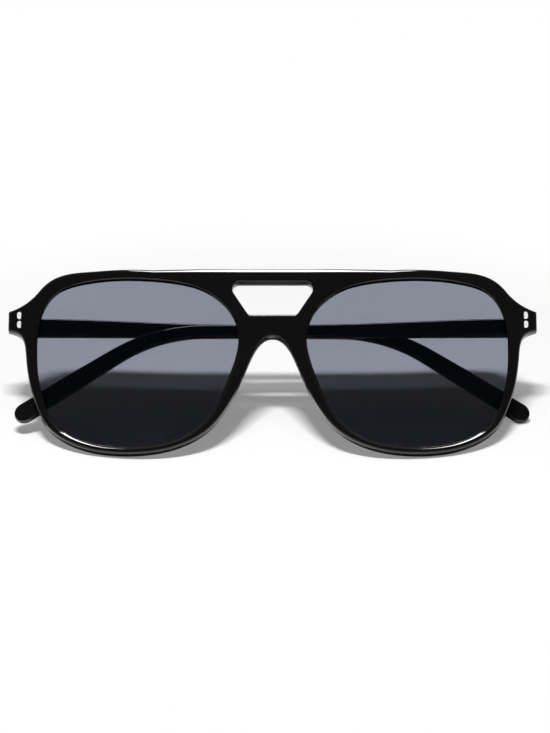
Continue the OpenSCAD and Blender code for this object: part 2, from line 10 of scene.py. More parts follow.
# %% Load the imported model
import json
from math import acos, asin, atan2, cos, degrees, floor, pi, radians, sin, sqrt, tan
import bmesh
import bpy
from mathutils import Matrix, Vector


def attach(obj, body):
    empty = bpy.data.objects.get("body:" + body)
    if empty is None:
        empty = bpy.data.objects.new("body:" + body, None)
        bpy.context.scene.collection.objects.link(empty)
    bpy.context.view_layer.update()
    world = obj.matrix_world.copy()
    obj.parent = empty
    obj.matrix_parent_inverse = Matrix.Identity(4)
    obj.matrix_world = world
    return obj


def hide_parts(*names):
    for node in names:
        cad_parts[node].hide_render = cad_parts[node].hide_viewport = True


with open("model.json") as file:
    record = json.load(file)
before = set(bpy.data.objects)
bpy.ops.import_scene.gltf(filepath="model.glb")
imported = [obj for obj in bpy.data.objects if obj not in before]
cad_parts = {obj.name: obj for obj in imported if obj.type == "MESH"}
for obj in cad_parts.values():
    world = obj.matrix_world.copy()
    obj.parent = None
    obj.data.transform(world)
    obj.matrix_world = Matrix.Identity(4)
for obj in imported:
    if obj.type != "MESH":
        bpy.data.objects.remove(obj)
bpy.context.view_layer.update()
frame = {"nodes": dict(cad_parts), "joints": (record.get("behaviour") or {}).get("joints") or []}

# %% [markdown]
# The glasses lean back on the table, but nobody draws them leaning. Like the solid model,
# every shape below is drawn in millimetres in the frame of the front: x runs across the
# face, y runs back from it and z runs up it.
#
# Seen from above the front is bowed, so that it follows the face. It is flat at the bridge
# and then bends along one radius, because sheet acetate is curved over a round former.
# The rims, lenses, pads and hinge pins all get their depth from this one function, which
# keeps them on the same bow.

# %% The bow of the face
FRAME_W, FRONT_T = 145, 4
FACE_R, FLAT_HALF = 215, 12
HALF_W = FRAME_W / 2


def sag(x):
    d = max(0, abs(x) - FLAT_HALF)
    return FACE_R - sqrt(FACE_R ** 2 - d * d)


def deep(p, y):
    return Vector((p[0], y + sag(p[0]), p[1]))


print("the ends of the lugs lie", round(sag(HALF_W), 1), "mm behind the bridge")

# %% [markdown]
# One matrix lays the whole down. Its tilt and its place are read from the right hinge, so
# they can't drift from the model. Each hinge pin stands a little behind the flat back of
# its lug, and each hinge is turned by a hair about the line from front to back. The depth
# of the pins is rounded, because the cuts made later in the front react to its last digits.

# %% From the frame of the front to the table
MM = 0.001
LUG_Z, PIN_IN, PIN_BACK, FLAT_AT, DIGITS = 40, 6.2, 1.3, 1, 5
SET_LEFT, SET_RIGHT = radians(0.7), radians(0.5)
pin_x = HALF_W - PIN_IN
lug_y = sag(pin_x + FLAT_AT) + FRONT_T
PIN = Vector((pin_x, round(lug_y + PIN_BACK, DIGITS), LUG_Z))
joints = {j["name"]: j for j in frame["joints"]}
hinge = joints["right_temple_hinge"]
lean = atan2(hinge["axis"][1], hinge["axis"][2])
to_table = (Matrix.Translation(Vector(hinge["pos_m"]))
            @ Matrix.Rotation(-lean, 4, "X")
            @ Matrix.Scale(MM, 4)
            @ Matrix.Translation(Vector((PIN.x, -PIN.y, -PIN.z))))
mirror_x = Matrix.Scale(-1, 4, Vector((1, 0, 0)))
print("the front leans back by", round(degrees(lean), 2), "degrees")

# %% [markdown]
# ## The outline of the front
#
# An acetate front is milled from sheet, so one outline says nearly everything. The lens
# opening is a closed curve through fifteen points, and each point also carries the width
# of the rim beside it. A smooth cubic spline passes through all of them, which is how a
# real drawing could be made: a handful of points that a hand can move, and a fair curve.

# %% The lens opening
EYE_W, EYE_H, BRIDGE_W = 55.1, 48, 18.4
RIM_TOP, RIM_CORNER, RIM_SIDE, RIM_LOW, RIM_NOSE = 2.7, 4, 3.1, 1.9, 3.5
EYE = [
    (1, 0.134, RIM_SIDE), (0.967, 0.593, RIM_CORNER), (0.79, 0.903, RIM_CORNER),
    (0.39, 1.005, RIM_TOP), (-0.136, 0.988, RIM_TOP), (-0.608, 0.875, RIM_TOP),
    (-0.902, 0.61, RIM_NOSE), (-0.996, 0.25, RIM_NOSE), (-0.898, -0.2, RIM_NOSE),
    (-0.681, -0.683, (RIM_NOSE + RIM_LOW) / 2), (-0.372, -0.935, RIM_LOW),
    (0.045, -1, RIM_LOW), (0.481, -0.923, RIM_LOW), (0.808, -0.692, RIM_LOW),
    (0.949, -0.302, (RIM_SIDE + RIM_LOW) / 2),
]
EYE_X = (BRIDGE_W + EYE_W) / 2
EYE_Z = RIM_LOW + EYE_H / 2


def eye_row(place):
    i, t = floor(place), place - floor(place)
    rows = [EYE[(i + k) % len(EYE)] for k in (-1, 0, 1, 2)]
    return [(2 * b + (c - a) * t + (2 * a - 5 * b + 4 * c - d) * t ** 2
             + (3 * b - a - 3 * c + d) * t ** 3) / 2 for a, b, c, d in zip(*rows)]


def eye_at(place):
    share_x, share_z = eye_row(place)[:2]
    return Vector((EYE_X + share_x * EYE_W / 2, EYE_Z + share_z * EYE_H / 2))


def right_of(v):
    return Vector((v.y, -v.x)).normalized()


def eye_out(place, step=0.02):
    return right_of(eye_at(place + step) - eye_at(place - step))


def rim_at(place):
    return eye_at(place) + eye_out(place) * eye_row(place)[2]


def rim_way(place, step=0.05):
    return (rim_at(place + step) - rim_at(place - step)).normalized()


print("lens opening", EYE_W, "by", EYE_H, "mm, bridge", BRIDGE_W, "mm")

# %% [markdown]
# The outer line has sharp decisions in it: the trapezoid cut-out under the brow bar, the
# arch over the nose and the stepped lug at each side. Smooth curves join lug and rim, and
# small arcs round the corners. Each point of the outer line is paired with a place on the
# lens opening, and these pairs are the stations that the skin is stretched over. A place
# is counted in points of the opening, so 6.5 is halfway from point 6 to point 7.

# %% Helpers for lines in the sheet
def bezier(a, b, c, d, n):
    return [a * (1 - t) ** 3 + b * 3 * (1 - t) ** 2 * t + c * 3 * (1 - t) * t * t + d * t ** 3
            for t in (i / n for i in range(n + 1))]


def rounded(a, p, b, r, n):
    u, v = (a - p).normalized(), (b - p).normalized()
    half = acos(u.dot(v)) / 2
    centre = p + (u + v).normalized() * (r / sin(half))
    start, end = p + u * (r / tan(half)) - centre, p + v * (r / tan(half)) - centre
    turn = (pi - 2 * half) * (1 if start.x * end.y - start.y * end.x > 0 else -1)
    return [centre + Matrix.Rotation(turn * i / n, 2) @ start for i in range(n + 1)]


def line(a, b, n):
    return [a + (b - a) * i / n for i in range(n + 1)]


def placed(first, last, points):
    n = len(points) - 1
    return [(first + (last - first) * i / n, p) for i, p in enumerate(points)]


def along_rim(first, last, n):
    places = [first + (last - first) * i / n for i in range(1, n + 1)]
    return [(place, rim_at(place)) for place in places]


def outs_of(chain, first, last):
    ways = [right_of(b[1] - a[1]) for a, b in zip(chain, chain[2:])]
    return [Vector(first), *ways, Vector(last)]


# %% The stations round one half of the front
BROW_H, CUT_H, NOSE_BAR_H, LUG_H = 3.9, 9.3, 6.3, 5.6
CUT_TOP_HALF, CUT_FOOT_HALF, CUT_TOP_R, CUT_FOOT_R, LUG_R = 12.6, 6.6, 2, 1, 0.5
AT_CUT, AT_SIDE, AT_FOOT, AT_BASE, AT_BAR = 5.3, 5.75, 6.35, 6.45, 6.6
AT_ARCH, AT_NOSE, AT_LUG_LOW, AT_LUG_END = 6.95, 8, 15.15, 15.55
AT_LUG_SIDE, AT_LUG_HEAD, AT_LUG_TOP, AT_LUG_HIGH = 15.63, 15.92, 16, 16.65
AT_BROW, AT_END = 19, 20.2
ARCH_STEPS, RIM_STEPS, LUG_STEPS, TOP_STEPS, BROW_STEPS = 28, 150, 26, 50, 20
ARCH_PULLS, LUG_LOW_PULLS, LUG_TOP_PULLS = (4, 8), (4.4, 3.2), (3.4, 3)
brow_z = rim_at(AT_BROW)[1]
cut_z = brow_z - BROW_H
bar_z = cut_z - CUT_H
arch_z = bar_z - NOSE_BAR_H
bar_middle, arch_middle = Vector((0, bar_z)), Vector((0, arch_z))

cut_corner, cut_foot = Vector((CUT_TOP_HALF, cut_z)), Vector((CUT_FOOT_HALF, bar_z))
cut_top = rounded(Vector((0, cut_z)), cut_corner, cut_foot, CUT_TOP_R, 16)
cut_low = rounded(cut_corner, cut_foot, bar_middle, CUT_FOOT_R, 8)
cut_chain = (placed(AT_CUT, AT_SIDE, cut_top)
             + placed(AT_SIDE, AT_FOOT, line(cut_top[-1], cut_low[0], 12))[1:-1]
             + placed(AT_FOOT, AT_BASE, cut_low)
             + placed(AT_BASE, AT_BAR, line(cut_low[-1], bar_middle, 6))[1:])
seam = placed(AT_BAR, AT_ARCH, line(bar_middle, arch_middle, 5))[1:-1]

nose = rim_at(AT_NOSE)
arch = bezier(arch_middle, arch_middle + Vector((ARCH_PULLS[0], 0)),
              nose - rim_way(AT_NOSE) * ARCH_PULLS[1], nose, ARCH_STEPS)
arch_chain = placed(AT_ARCH, AT_NOSE, arch)
rim_chain = along_rim(AT_NOSE, AT_LUG_LOW, RIM_STEPS)

lug_low, lug_top = Vector((HALF_W, LUG_Z - LUG_H / 2)), Vector((HALF_W, LUG_Z + LUG_H / 2))
low_way, top_way = Vector((0.97, 0.24)), Vector((-1, 0.25))
lug_foot = rounded(lug_low - low_way, lug_low, lug_top, LUG_R, 6)
lug_head = rounded(lug_low, lug_top, lug_top + top_way, LUG_R, 6)
rim_low, rim_high = rim_at(AT_LUG_LOW), rim_at(AT_LUG_HIGH)
lug_under = bezier(rim_low, rim_low + rim_way(AT_LUG_LOW) * LUG_LOW_PULLS[0],
                   lug_foot[0] - low_way * LUG_LOW_PULLS[1], lug_foot[0], LUG_STEPS)
lug_over = bezier(lug_head[-1], lug_head[-1] + top_way * LUG_TOP_PULLS[0],
                  rim_high - rim_way(AT_LUG_HIGH) * LUG_TOP_PULLS[1], rim_high, LUG_STEPS)
lug_chain = (placed(AT_LUG_LOW, AT_LUG_END, lug_under)[1:]
             + placed(AT_LUG_END, AT_LUG_SIDE, lug_foot)[1:]
             + placed(AT_LUG_SIDE, AT_LUG_HEAD, line(lug_foot[-1], lug_head[0], 6))[1:-1]
             + placed(AT_LUG_HEAD, AT_LUG_TOP, lug_head)
             + placed(AT_LUG_TOP, AT_LUG_HIGH, lug_over)[1:])
top_chain = along_rim(AT_LUG_HIGH, AT_BROW, TOP_STEPS)
brow_line = line(Vector((rim_at(AT_BROW)[0], brow_z)), Vector((cut_top[0][0], brow_z)), BROW_STEPS)
brow_chain = placed(AT_BROW, AT_END, brow_line)[1:]
round_chain = arch_chain + rim_chain + lug_chain + top_chain + brow_chain

stations = cut_chain + seam + round_chain
outs = (outs_of(cut_chain, (0, -1), (0, 1)) + [Vector((0, 0))] * len(seam)
        + outs_of(round_chain, (0, -1), (0, 1)))
print(len(stations), "stations round one half of the front")

# %% [markdown]
# ## The section through a rim
#
# Cut a rim across and you see the maker's work: a wide bevel towards the lens on the face,
# the groove that holds the lens, a small bevel at the back and two rounded outer edges.
# The section is written as a list of points from the face round by the lens to the back
# and home over the outer edge. Along the brow the front edge also has a flat facet, which
# draws the long white line there. The facet is widest over the nose and dies out towards
# the corners. Corners that catch the light are softened by a tiny curve, since a perfectly
# sharp edge never glints.

# %% One section at one station
FACE_BEVEL, BEVEL_Y, BACK_BEVEL, EDGE_R = 1.1, 0.6, 0.5, 0.8
BEVEL_SHARE, EDGE_SHARE = 0.45, 0.35
SOFT_BEVEL, SOFT_LIP, SOFT_BACK_LIP = 0.16, 0.12, 0.1
FACET, FACET_TILT, FACET_R, FACET_HALF = 0.95, radians(28), 0.45, 44
ROLL_IN, ROLL_IN_STEP, ROLL_OUT = 3, 0.09, 4
GROOVE_D, GROOVE_Y, LENS_T, LENS_FIT = 0.7, 1.3, 1.8, 0.05
GROOVE_W = LENS_T + 2 * LENS_FIT
ACROSS = 4
ARC = ROLL_IN + ROLL_OUT + 2


def softened(before, p, after, reach, n=4, share=0.4):
    a = p + (before - p).normalized() * min(reach, (before - p).length * share)
    b = p + (after - p).normalized() * min(reach, (after - p).length * share)
    return [a * (1 - t) ** 2 + p * 2 * t * (1 - t) + b * t * t for t in (i / n for i in range(n + 1))]


def level_steps(p, q, y):
    """The points between two others, all at one depth behind the bowed face."""
    return [deep((p[0] + (q[0] - p[0]) * i / ACROSS, p[2] + (q[2] - p[2]) * i / ACROSS), y)
            for i in range(1, ACROSS)]


def brow_edge(wide):
    """Outer edge with a facet: distances in from the edge and back from the face."""
    rest = pi / 2 - FACET_TILT
    steps = [(FACET_TILT * (i + 0.5) / ROLL_IN, ROLL_IN_STEP) for i in range(ROLL_IN)]
    steps.append((FACET_TILT, FACET))
    steps += [(FACET_TILT + rest * (i + 0.5) / ROLL_OUT, FACET_R * rest / ROLL_OUT)
              for i in range(ROLL_OUT)]
    u, y = 0, 0
    path = [(u, y)]
    for tilt, length in steps:
        u, y = u + cos(tilt) * length, y + sin(tilt) * length
        path.append((u, y))
    share = min(1, 0.5 * wide / u)
    return [((u - pu) * share, py * share) for pu, py in reversed(path)]


def section(place, b, out):
    """One ring of the skin, at a place on the opening and the outer point beside it."""
    a, m = eye_at(place), eye_out(place)
    wide = (b - a).length
    r = min(EDGE_R, EDGE_SHARE * wide)
    face_in = deep(a + m * min(FACE_BEVEL, BEVEL_SHARE * wide), 0)
    lip, groove_in = deep(a, BEVEL_Y), deep(a, GROOVE_Y)
    floor_at = a + m * GROOVE_D
    groove_a, groove_b = deep(floor_at, GROOVE_Y), deep(floor_at, GROOVE_Y + GROOVE_W)
    groove_out, back_lip = deep(a, GROOVE_Y + GROOVE_W), deep(a, FRONT_T - BACK_BEVEL)
    back_in = deep(a + m * BACK_BEVEL, FRONT_T)
    turns = [pi / 2 * i / (ARC - 1) for i in range(ARC)]
    ry = r if out.length else 0
    back_edge = [deep(b - out * (r - r * sin(w)), FRONT_T - (ry - ry * cos(w))) for w in turns]
    face_edge = [deep(b - out * (r - r * cos(w)), ry - ry * sin(w)) for w in turns]
    if place > AT_LUG_TOP and out.y > 0:
        crown = max(0, 1 - (b.x / FACET_HALF) ** 2)
        facet = [deep(b - out * u, y) for u, y in brow_edge(wide)]
        face_edge = [p.lerp(q, crown) for p, q in zip(face_edge, facet)]
    lens_side = [*softened(face_edge[-1], face_in, lip, SOFT_BEVEL),
                 *softened(face_in, lip, groove_in, SOFT_LIP),
                 groove_in, groove_a, groove_b, groove_out,
                 *softened(groove_out, back_lip, back_in, SOFT_BACK_LIP),
                 *softened(back_lip, back_in, back_edge[0], SOFT_BEVEL)]
    return (lens_side + level_steps(lens_side[-1], back_edge[0], FRONT_T) + back_edge
            + face_edge + level_steps(face_edge[-1], lens_side[0], 0))


rings = [section(s, b, out) for (s, b), out in zip(stations, outs)]
WIDE = len(rings[0])
EDGE_LAST = WIDE - ACROSS
EDGE_FIRST = EDGE_LAST - 2 * ARC + 1
print(WIDE, "points in each section, of which", 2 * ARC, "round the outer edges")

# %% [markdown]
# ## One skin for the whole front
#
# Neighbouring sections are joined by quads. The skin runs along the cut-out, down the
# middle of the bridge, round the arch, rim and lug, and back along the brow bar. Where it
# meets the middle of the bridge it stays open and is welded to its mirror image, and the
# two halves of the brow bar are joined by straight quads. The result is one closed sheet
# of plastic, as the real front is, and not two rims with a bar stuck on.

# %% Helpers that turn points into objects
SHARP = 40


def new_mesh(name, points, faces, matrix=to_table, weld=0.002, smooth=SHARP):
    mesh = bpy.data.meshes.new(name)
    bm = bmesh.new()
    verts = [bm.verts.new(p) for p in points]
    for f in faces:
        bm.faces.new([verts[i] for i in f])
    bmesh.ops.remove_doubles(bm, verts=bm.verts, dist=weld)
    bmesh.ops.delete(bm, geom=[v for v in bm.verts if not v.link_faces], context="VERTS")
    bmesh.ops.dissolve_degenerate(bm, edges=bm.edges, dist=weld / 10)
    bmesh.ops.recalc_face_normals(bm, faces=bm.faces)
    bm.transform(matrix)
    if bm.calc_volume(signed=True) < 0:
        bmesh.ops.reverse_faces(bm, faces=bm.faces)
    open_edges = sum(1 for e in bm.edges if len(e.link_faces) != 2)
    bm.to_mesh(mesh)
    bm.free()
    mesh.shade_smooth()
    mesh.set_sharp_from_angle(angle=radians(smooth))
    piece = bpy.data.objects.new(name, mesh)
    bpy.context.scene.collection.objects.link(piece)
    print(name, len(mesh.polygons), "faces,", open_edges, "open edges")
    return piece


def skin_faces(n_rings, n, closed=False):
    """Quads between rings of n points each."""
    quads = []
    for k in range(n_rings if closed else n_rings - 1):
        this, after = k * n, (k + 1) % n_rings * n
        quads += [(this + j, this + (j + 1) % n, after + (j + 1) % n, after + j) for j in range(n)]
    return quads


def end_caps(n_rings, n):
    """The two faces that close a skin at its first and its last ring."""
    return [tuple(range(n - 1, -1, -1)), tuple(range((n_rings - 1) * n, n_rings * n))]


def block(low, high, matrix):
    """A closed block in the frame of the front, used only as a cutter or a boss."""
    xs, ys, zs = zip(low, high)
    points = [Vector((x, y, z)) for z in zs for y in ys for x in xs]
    faces = [(0, 2, 3, 1), (4, 5, 7, 6), (0, 1, 5, 4), (2, 6, 7, 3), (0, 4, 6, 2), (1, 3, 7, 5)]
    return new_mesh("cutter", points, faces, matrix, weld=1e-6)


def carve(piece, tool, how):
    cut = piece.modifiers.new(how, "BOOLEAN")
    cut.operation, cut.object, cut.solver = how, tool, "EXACT"
    bpy.context.view_layer.update()
    done = bpy.data.meshes.new_from_object(piece.evaluated_get(bpy.context.evaluated_depsgraph_get()))
    piece.modifiers.clear()
    piece.data = done
    done.set_sharp_from_angle(angle=radians(SHARP))
    bpy.data.objects.remove(tool)


# %% Stretch the skin and weld the halves
seam_from, seam_to = len(cut_chain) - 1, len(cut_chain) + len(seam)
count = len(rings)
half = [p for ring in rings for p in ring]
half_faces = [f for f in skin_faces(count, WIDE, closed=True)
              if not ((seam_from <= f[0] // WIDE < seam_to or f[0] // WIDE == count - 1)
                      and EDGE_FIRST <= f[0] % WIDE < EDGE_LAST)]
bar = ([(count - 1) * WIDE + j for j in range(EDGE_FIRST, EDGE_LAST + 1)]
       + list(range(EDGE_LAST, EDGE_FIRST - 1, -1)))
bar_faces = [(a, b, b + len(half), a + len(half)) for a, b in zip(bar, bar[1:] + bar[:1])]
both = half + [Vector((-p.x, p.y, p.z)) for p in half]
faces = half_faces + [tuple(i + len(half) for i in reversed(f)) for f in half_faces] + bar_faces
front = new_mesh("front_acetate", both, faces)

# %% [markdown]
# The back of each lug is milled flat and has a pocket for the hinge leaf, because the
# hinge must sit square however the face is bowed. A shallow relief clears the head of the
# screw. These are plain machine cuts, so plain blocks and Boolean modifiers make them.
# The cuts turn with the hinge's own small set.

# %% Flat backs and pockets of the lugs
BARREL_R, BARREL_H, BARREL_GAP = 1.15, 1.38, 0.05
LEAF_T, FRONT_LEAF, SEAT, ROOM = 0.8, 5, 0.04, 0.3
LEAF_HALF = 1.5 * BARREL_H + BARREL_GAP
HEAD_R, HEAD_H, HEAD_ROOM, HEAD_FRONT_ROOM = 0.95, 0.5, 0.2, 0.15
BOSS_T, BOSS_WALL, BOSS_MORE, BEHIND, OVER = 2, 0.4, 0.1, 3, 1
boss_in = BARREL_R + ROOM + BOSS_MORE


def about_pin(turn):
    return Matrix.Translation(PIN) @ Matrix.Rotation(turn, 4, "Y")


left_side = to_table @ about_pin(-SET_LEFT)
right_side = to_table @ mirror_x @ about_pin(SET_RIGHT)
for side in (left_side, right_side):
    boss = block((-boss_in, -PIN_BACK - BOSS_T, -LEAF_HALF - BOSS_WALL),
                 (HALF_W - PIN.x - EDGE_R, -PIN_BACK, LEAF_HALF + BOSS_WALL), side)
    carve(front, boss, "UNION")
    flat = block((-boss_in - OVER, -PIN_BACK, -LUG_H), (HALF_W, FRONT_T, LUG_H), side)
    carve(front, flat, "DIFFERENCE")
    pocket = block((-BARREL_R - ROOM, -PIN_BACK - LEAF_T - SEAT, -LEAF_HALF - SEAT),
                   (FRONT_LEAF + SEAT, 0, LEAF_HALF + SEAT), side)
    carve(front, pocket, "DIFFERENCE")
    relief = block((-HEAD_R - HEAD_ROOM, -HEAD_R - HEAD_FRONT_ROOM, 0),
                   (HEAD_R + HEAD_ROOM, BEHIND, LEAF_HALF + HEAD_H + HEAD_ROOM), side)
    carve(front, relief, "DIFFERENCE")
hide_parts("front")
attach(front, "front")
print("front:", len(front.data.polygons), "faces after the cuts")

# %% [markdown]
# ## The lenses
#
# A sun lens is a thin shell with two nearly parallel curves, and its rim sits out of sight
# in the groove. It gets its real thickness here, because light is bent and reflected at
# both of its surfaces. Rings grow from the middle to the edge. Each has the outline of the
# opening and bulges forward least at the edge.

# %% Two domed lenses
LENS_DOME, LENS_STEPS, LENS_RINGS = 0.8, 210, 14
lens_places = [len(EYE) * i / LENS_STEPS for i in range(LENS_STEPS)]
lens_rim = [eye_at(place) + eye_out(place) * (GROOVE_D - 2 * LENS_FIT) for place in lens_places]
lens_middle = Vector((EYE_X, EYE_Z))


def lens_ring(share, y):
    bulge = LENS_DOME * (1 - share ** 2)
    return [deep(lens_middle + (p - lens_middle) * share, y - bulge) for p in lens_rim]


shares = [(i + 0.5) / LENS_RINGS for i in range(LENS_RINGS)] + [1]
y_front, y_back = GROOVE_Y + LENS_FIT, GROOVE_Y + LENS_FIT + LENS_T
lens_rings = [lens_ring(f, y_front) for f in shares] + [lens_ring(f, y_back) for f in reversed(shares)]
lens_points = [p for ring in lens_rings for p in ring]
lens_faces = skin_faces(len(lens_rings), LENS_STEPS) + end_caps(len(lens_rings), LENS_STEPS)
lenses = []
for name, matrix in (("left", to_table), ("right", to_table @ mirror_x)):
    lens = new_mesh("tinted_lens_" + name, lens_points, lens_faces, matrix, weld=1e-4, smooth=50)
    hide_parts("lens_" + name)
    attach(lens, "front")
    lenses.append(lens)

# %% [markdown]
# ## The nose pads
#
# On an acetate front the pads are not sprung metal arms but low ridges of the same
# plastic, cemented behind the rim and polished until no joint shows. Each is a small ring
# of points swept along the rim and then subdivided, which gives the soft, worn-smooth
# shape for almost no work. A crease keeps the foot of the ridge flat. The foot stays
# 0.02 mm off the rim, where the cement would be.

# %% Two nose pads
PAD_FROM, PAD_TO, PAD_STEPS, PAD_POINTS = 7.55, 8.95, 28, 6
PAD_H, PAD_END_H, PAD_SEAT, PAD_IN, PAD_OUT = 3, 0.25, 0.02, 0.3, 0.75
RISE_FROM, RISE_TO = 12, 168


def chain_point(place):
    """The outer line beside a place near the nose, on the arch or on the rim."""
    if place >= AT_NOSE:
        return rim_at(place)
    at = (place - AT_ARCH) / (AT_NOSE - AT_ARCH) * ARCH_STEPS
    i = min(ARCH_STEPS - 1, floor(at))
    return arch[i] + (arch[i + 1] - arch[i]) * (at - i)


def pad_ring(i):
    t = i / PAD_STEPS
    place = PAD_FROM + (PAD_TO - PAD_FROM) * t
    a, b = eye_at(place), chain_point(place)
    m = (b - a).normalized()
    h = PAD_END_H + PAD_H * sqrt(sin(radians(RISE_FROM + (RISE_TO - RISE_FROM) * t)))
    inner, outer = BACK_BEVEL + PAD_IN, (b - a).length - PAD_OUT
    profile = [(inner, 0), (inner + 0.1, 0.6), (inner + 0.7, 0.95),
               (outer - 0.5, 1), (outer + 0.15, 0.7), (outer, 0)]
    return [deep(a + m * u, FRONT_T + PAD_SEAT + h * rise) for u, rise in profile]


pad_points = [p for i in range(PAD_STEPS + 1) for p in pad_ring(i)]
pad_faces = skin_faces(PAD_STEPS + 1, PAD_POINTS) + end_caps(PAD_STEPS + 1, PAD_POINTS)
foot_edges = {frozenset((k * PAD_POINTS + j, (k + 1) * PAD_POINTS + j))
              for k in range(PAD_STEPS) for j in (0, PAD_POINTS - 1)}
pads = []
for name, matrix in (("left", to_table), ("right", to_table @ mirror_x)):
    pad = new_mesh("nose_ridge_" + name, pad_points, pad_faces, matrix, weld=1e-4, smooth=180)
    crease = pad.data.attributes.new("crease_edge", "FLOAT", "EDGE")
    for e in pad.data.edges:
        crease.data[e.index].value = 0.9 if frozenset(e.vertices) in foot_edges else 0
    round_off = pad.modifiers.new("polish", "SUBSURF")
    round_off.levels = round_off.render_levels = 2
    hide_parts("nose_pad_" + name)
    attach(pad, "front")
    pads.append(pad)

# %% [markdown]
# ## The temples
#
# A temple is one strip of acetate. It is tall at the hinge, slim in the middle and
# deeper again towards the tip, and it bends down over the ear along one radius. It is
# swept here as rings of a rounded rectangle that stand square to that path, with more
# rings where the path bends and where the tip closes. The hinge leaf is sunk into a slit
# just under the inner face, so that only its arm comes out at the mouth.

# %% The path and size of a temple
STRAIGHT_L, BEND_R, BEND_A, EAR_L = 85, 46, radians(32.5), 32.5
TEMPLE_H, WAIST_H, TIP_H, TEMPLE_T, TIP_T = 4.9, 3.5, 5.2, 3.4, 2.8
TEMPLE_R, ROUND_L, WAIST_AT, SPLAY = 0.7, 3, 55, radians(5)
KNUCKLE_GAP, BUTT_GAP, TEMPLE_LEAF, LEAF_SINK = 0.15, 0.15, 11, 0.3
INNER_D = BARREL_R + KNUCKLE_GAP
BEND_STEPS, EAR_STEPS, CORNER_POINTS, TIP_FLAT = 22, 10, 6, 0.4
STOP_FIRST, STOP_STEP = 2, 3
TIP_TURNS = (10, 20, 30, 40, 50, 60, 70, 78, 84, 88)
bend_l = BEND_R * BEND_A
temple_l = STRAIGHT_L + bend_l + EAR_L
tip_q = temple_l - ROUND_L


def eased(t):
    t = min(1, max(0, t))
    return t * t * (3 - 2 * t)


def along(q):
    """Place along the temple: forward, up, and how far the path has turned down."""
    if q <= STRAIGHT_L:
        return q, 0, 0
    w = min(q - STRAIGHT_L, bend_l) / BEND_R
    over = max(0, q - STRAIGHT_L - bend_l)
    return (STRAIGHT_L + BEND_R * sin(w) + over * cos(BEND_A),
            -BEND_R * (1 - cos(w)) - over * sin(BEND_A), w)


def temple_height(q):
    return (TEMPLE_H + (WAIST_H - TEMPLE_H) * eased(q / WAIST_AT)
            + (TIP_H - WAIST_H) * eased((q - STRAIGHT_L) / (temple_l - STRAIGHT_L - ROUND_L)))


def temple_thick(q):
    return TEMPLE_T + (TIP_T - TEMPLE_T) * min(1, q / (STRAIGHT_L + bend_l))


def temple_ring(q, tall=1, wide=1):
    a = temple_thick(q) / 2 * wide
    b = temple_height(q) / 2 * tall
    r = TEMPLE_R * min(tall, wide)
    forward, up, w = along(q)
    lift = -(TEMPLE_H - WAIST_H) / 2 * eased(q / WAIST_AT)
    ring = []
    for sx, sz, start in ((1, 1, 0), (-1, 1, 90), (-1, -1, 180), (1, -1, 270)):
        for step in range(CORNER_POINTS):
            turn = radians(start + 90 * step / (CORNER_POINTS - 1))
            x, z = sx * (a - r) + r * cos(turn), sz * (b - r) + r * sin(turn) + lift
            ring.append(Vector((INNER_D + TEMPLE_T / 2 + x, forward + z * sin(w), up + z * cos(w))))
    return ring


def butt_end(ring):
    return [Vector((p.x, (BUTT_GAP - PIN_BACK + p.x * sin(SPLAY)) / cos(SPLAY), p.z)) for p in ring]


straight_steps = floor((STRAIGHT_L - STOP_FIRST) / STOP_STEP)
stops = [STOP_FIRST + STOP_STEP * i for i in range(straight_steps)]
stops += [STRAIGHT_L + bend_l * i / BEND_STEPS for i in range(BEND_STEPS + 1)]
stops += [STRAIGHT_L + bend_l + (EAR_L - ROUND_L) * i / EAR_STEPS for i in range(1, EAR_STEPS + 1)]
temple_rings = [butt_end(temple_ring(0))] + [temple_ring(q) for q in stops]
for w in (radians(turn) for turn in TIP_TURNS):
    wide = TIP_FLAT + (1 - TIP_FLAT) * cos(w)
    temple_rings.append(temple_ring(tip_q + ROUND_L * sin(w), cos(w), wide))
temple_points = [p for ring in temple_rings for p in ring]
corners = len(temple_rings[0])
temple_faces = skin_faces(len(temple_rings), corners) + end_caps(len(temple_rings), corners)
print("temple length along its curve:", round(temple_l, 1), "mm")

# %% [markdown]
# Folded, the left temple passes close behind the far rim, and the right temple passes close
# behind the left one. Both folds follow from these gaps, as they do in the solid model: the
# right one has to clear the left at both places where the bend of one passes the other.

# %% Two temples, folded on their pins
RIM_GAP, STACK_GAP, RIM_SHARE = 0.5, 0.65, 0.3
cross_x = EYE_X + EYE_W / 2 + RIM_SHARE * RIM_SIDE
cross_y = sag(cross_x) + FRONT_T + RIM_GAP
fold_left = asin((cross_y - PIN.y - INNER_D - (TEMPLE_T - TIP_T) / 2) / (PIN.x + cross_x))


def clear_at(q):
    thick = (temple_thick(q) + temple_thick(2 * PIN.x - q)) / 2
    return asin((thick + STACK_GAP + q * sin(fold_left)) / (2 * PIN.x - q))


meet_q = STRAIGHT_L + bend_l / 2
fold_right = max(clear_at(meet_q), clear_at(2 * PIN.x - meet_q))
print("folds in degrees:", round(degrees(fold_left), 5), round(degrees(fold_right), 5))

temples = []
for name, side, fold in (("left", left_side, fold_left), ("right", right_side, fold_right)):
    folded = side @ Matrix.Rotation(pi / 2 - fold, 4, "Z")
    temple = new_mesh("temple_acetate_" + name, temple_points, temple_faces, folded, weld=1e-4)
    slit = block((INNER_D + LEAF_SINK - SEAT, -BARREL_R - OVER, -LEAF_HALF - SEAT),
                 (INNER_D + LEAF_SINK + LEAF_T + SEAT, TEMPLE_LEAF + SEAT, LEAF_HALF + SEAT), folded)
    carve(temple, slit, "DIFFERENCE")
    mouth = block((INNER_D - OVER, -BARREL_R - OVER, -BARREL_H / 2 - SEAT),
                  (INNER_D + LEAF_SINK, BARREL_R + SEAT, BARREL_H / 2 + SEAT), folded)
    carve(temple, mouth, "DIFFERENCE")
    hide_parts("temple_" + name)
    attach(temple, name + "_temple")
    temples.append(temple)

